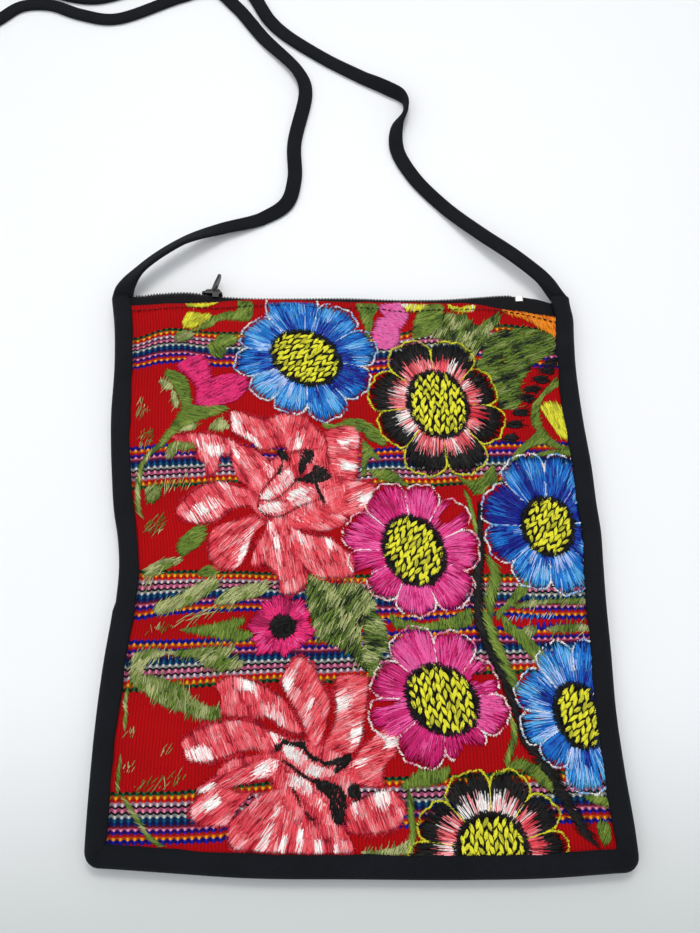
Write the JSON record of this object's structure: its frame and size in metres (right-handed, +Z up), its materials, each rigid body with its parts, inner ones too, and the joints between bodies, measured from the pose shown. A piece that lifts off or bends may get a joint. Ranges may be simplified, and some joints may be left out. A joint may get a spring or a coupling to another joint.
{
  "type": "embroidered shoulder bag",
  "caption": "Flat zip-top cloth shoulder bag lying on its back, with a flower-embroidered woven front, dark folded binding, a coil zip along the top and a narrow flat strap.",
  "frame": {"origin": "middle of the bag's outline, with its zip pull and without its strap, on the surface that it lies on", "axes": "+X along the zip, +Y from the bottom edge to the zip, +Z up out of the front panel"},
  "size_m": [0.2975, 0.4681, 0.012],
  "materials": {
    "woven_front": "ribbed red cotton with woven stripes and satin-stitch flowers",
    "back_cloth": "plain dark cotton",
    "dark_tape": "near-black twill tape",
    "zip_tape": "fine black zip tape",
    "zip_coil": "black nylon coil",
    "zip_metal": "black enamel",
    "stop_metal": "bare pale metal"
  },
  "bodies": {
    "bag": {"front_panel": "woven_front", "back_panel": "back_cloth", "binding": "dark_tape", "strap": "dark_tape", "zip_tape_front": "zip_tape", "zip_tape_back": "zip_tape", "zip_coil_front": "zip_coil", "zip_coil_back": "zip_coil", "zip_slider": "zip_metal", "zip_stop": "stop_metal"},
    "pull": {"zip_pull": "zip_metal"}
  },
  "joints": [
    {"name": "pull_swing", "type": "hinge", "parent": "bag", "child": "pull", "pos_m": [-0.0555, 0.112, 0.0046], "axis": [0, 0, 1], "range_deg": [-66, 102]}
  ]
}
